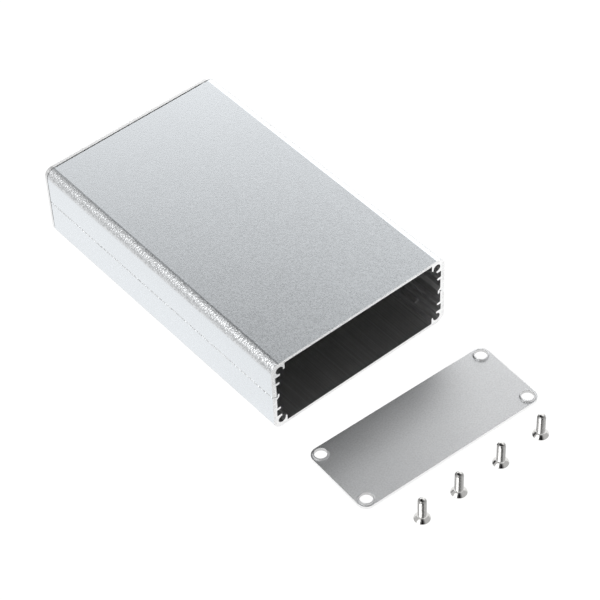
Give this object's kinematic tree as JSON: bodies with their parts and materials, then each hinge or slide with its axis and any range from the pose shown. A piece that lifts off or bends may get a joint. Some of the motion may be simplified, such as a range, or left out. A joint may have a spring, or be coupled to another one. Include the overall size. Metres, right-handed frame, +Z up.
{
  "type": "extruded enclosure",
  "caption": "Flat extruded aluminium electronics enclosure of interlocking halves with card slots and corner screw channels, its front end plate and screws laid out before the open mouth.",
  "frame": {"origin": "middle of the closed shell's underside, halfway along the extrusions", "axes": "+X across the width, +Y from the open mouth towards the rear plate, +Z up"},
  "size_m": [0.0647, 0.1585, 0.0258],
  "materials": {
    "anodised_shell": "fine matte silver anodised over a sand-blasted surface",
    "satin_plate": "satin silver anodised",
    "plated_screw": "bright nickel-plated steel"
  },
  "bodies": {
    "root": {"upper_shell": "anodised_shell", "lower_shell": "anodised_shell", "rear_plate": "satin_plate", "front_plate": "satin_plate", "rear_screw_lower_left": "plated_screw", "rear_screw_lower_right": "plated_screw", "rear_screw_upper_left": "plated_screw", "rear_screw_upper_right": "plated_screw", "front_screw_1": "plated_screw", "front_screw_2": "plated_screw", "front_screw_3": "plated_screw", "front_screw_4": "plated_screw"}
  },
  "joints": []
}
